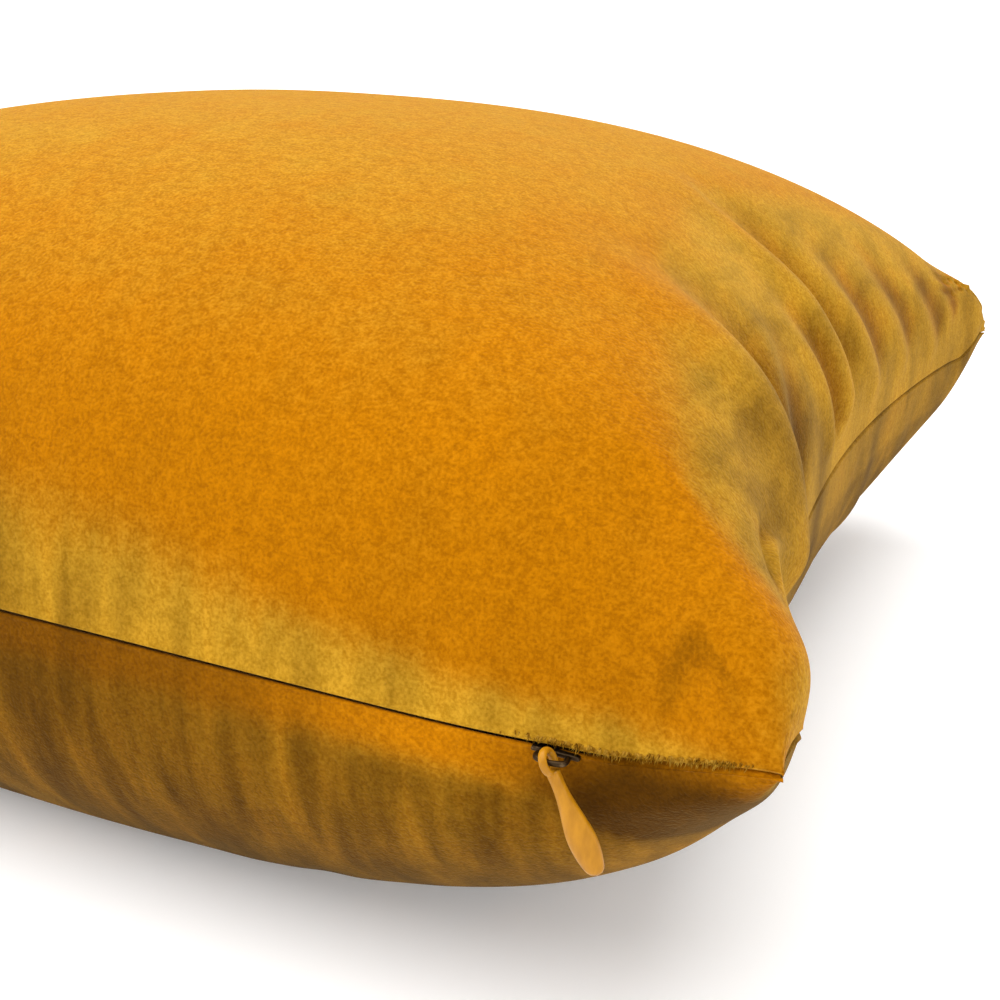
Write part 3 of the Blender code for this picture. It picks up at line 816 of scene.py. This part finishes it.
def turned_drop():
    mesh = bmesh.new()
    rows, around = 40, 28
    top = RING - RING_WIRE * 0.3
    loops = []
    for row in range(rows):
        t = row / rows
        spread = np.clip(t + np.linspace(-0.06, 0.06, 9), 0, 1)
        width = np.interp(spread, *zip(*PROFILE)).mean() / 1000
        width *= math.sqrt(1 - max(0, (t - 1 + ROUND_TIP) / ROUND_TIP) ** 2)
        thick = width * (1 - (1 - FLATNESS) * ease(0.1, 0.5, t))
        drop = -(top + (REACH - top) * t)
        turns = [k * math.tau / around for k in range(around)]
        loops.append([mesh.verts.new((width / 2 * math.cos(turn), thick / 2 * math.sin(turn), drop))
                      for turn in turns])
    bottom = mesh.verts.new((0, 0, -REACH))
    for first, second in zip(loops, loops[1:]):
        for k in range(around):
            mesh.faces.new((first[k], first[(k + 1) % around], second[(k + 1) % around], second[k]))
    for k in range(around):
        mesh.faces.new((loops[-1][k], loops[-1][(k + 1) % around], bottom))
    mesh.faces.new(loops[0])
    ring = bmesh.ops.create_grid(mesh, x_segments=36, y_segments=14, size=1)["verts"]
    for vertex in ring:
        turn = math.pi * vertex.co.x
        bend = math.pi * vertex.co.y
        out = RING + RING_WIRE * math.cos(bend)
        vertex.co = (RING_WIRE * 1.25 * math.sin(bend), out * math.sin(turn), out * math.cos(turn))
    bmesh.ops.remove_doubles(mesh, verts=ring, dist=0.00001)
    bmesh.ops.recalc_face_normals(mesh, faces=mesh.faces)
    data = bpy.data.meshes.new("lacquered_pull")
    mesh.to_mesh(data)
    mesh.free()
    slider_low, slider_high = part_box("zip_slider_body")
    pivot = Matrix.Translation(((slider_low.x + slider_high.x) / 2, PIVOT_Y, SEAM_Z))
    data.transform(pivot @ Matrix.Rotation(TILT, 4, "Y"))
    data.shade_smooth()
    piece = new_piece("lacquered_pull", data)
    data.materials.append(lacquer_finish())
    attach(piece, "pull")
    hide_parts("zip_pull")


turned_drop()


# Insert. A case of fine cotton ticking, closed by hand along one side, holds a polyester fibre filling that
# fills the cover out into its corners.

ZIP_ROOM = 0.04  # how much further the insert stays back from the zip


def inside(draw, slack):
    """Front and back skins a little inside the cover, with their own seam tucked behind its."""
    flat = np.linspace(-1, 1, 61)
    old = np.linspace(-1, 1, len(front_points))

    def coarser(grid):
        """The grid's points between -1 and 1 less the draw, with fewer cells. It turns rows into columns."""
        lines = [[np.interp(flat * (1 - draw), old, grid[:, j, axis]) for j in range(grid.shape[1])]
                 for axis in range(3)]
        return np.stack(lines, -1)

    front, back = (coarser(coarser(points)) for points in (front_points, back_points))
    u, v = np.meshgrid(flat, flat, indexing="ij")
    rim = ease(0.86, 1, np.maximum(abs(u), abs(v)))[..., None]
    seam = (front + back) / 2
    skins = []
    for skin in (front, back):
        skin = skin * (1 - rim) + seam * rim
        skin[..., 2] = SEAM_Z + (skin[..., 2] - SEAM_Z) * (1 - slack)
        skin[..., 0] *= 1 - slack / 2
        skin[..., 1] *= np.where(skin[..., 1] < 0, 1 - slack / 2 - ZIP_ROOM, 1 - slack / 2)
        skins.append(skin)
    return skins


def ticking_finish():
    material, shader, tree, place = finish("cotton_ticking", roughness=0.85, Sheen_Weight=0.1)
    warp = Wire.node(tree, "TexWave", {"bands_direction": "X"}, {"Vector": place, "Scale": 380.0}, output=1)
    weft = Wire.node(tree, "TexWave", {"bands_direction": "Y"}, {"Vector": place, "Scale": 380.0}, output=1)
    weave = warp * 0.5 + weft * 0.5
    plug(tree, weave.mix((0.66, 0.63, 0.57), (0.82, 0.80, 0.74)), shader, "Base Color")
    bump(tree, weave, 0.00015, shader)
    return material


def fibre_finish():
    material, shader, tree, place = finish("fibre_filling", roughness=0.95, Sheen_Weight=0.4)
    clump = noise(tree, place, 0.02, 4)
    plug(tree, clump.mix((0.78, 0.78, 0.77), (0.92, 0.92, 0.91)), shader, "Base Color")
    bump(tree, noise(tree, place, 0.003, 4), 0.002, shader)
    return material


def skin_piece(name, skins, material, node):
    """One piece of the insert, from one skin or two that meet at the seam."""
    verts, faces = [], []
    for skin, side in skins:
        count, base = len(skin), len(verts)
        verts += skin.reshape(-1, 3).tolist()
        index = base + np.arange(count * count).reshape(count, count)
        corners = [index[:-1, :-1], index[1:, :-1], index[1:, 1:], index[:-1, 1:]]
        faces += np.stack(corners if side > 0 else corners[::-1], -1).reshape(-1, 4).tolist()
    mesh = bpy.data.meshes.new(name)
    mesh.from_pydata(verts, [], faces)
    mesh.shade_smooth()
    mesh.materials.append(material)
    piece = new_piece(name, mesh)
    weld = piece.modifiers.new("weld", "WELD")
    weld.merge_threshold = 0.00005
    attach(piece, "cushion")
    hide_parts(node)


ticking, fibre = ticking_finish(), fibre_finish()
case_front, case_back = inside(0.05, 0.09)
fill_front, fill_back = inside(0.06, 0.12)
skin_piece("case_front", [(case_front, 1)], ticking, "insert_case_front")
skin_piece("case_back", [(case_back, -1)], ticking, "insert_case_back")
skin_piece("fibre_filling", [(fill_front, 1), (fill_back, -1)], fibre, "insert_fill")
stitches("case_closing", case_front[6:-6, 0] * [1, 1.004, 1], "insert_closing_thread")
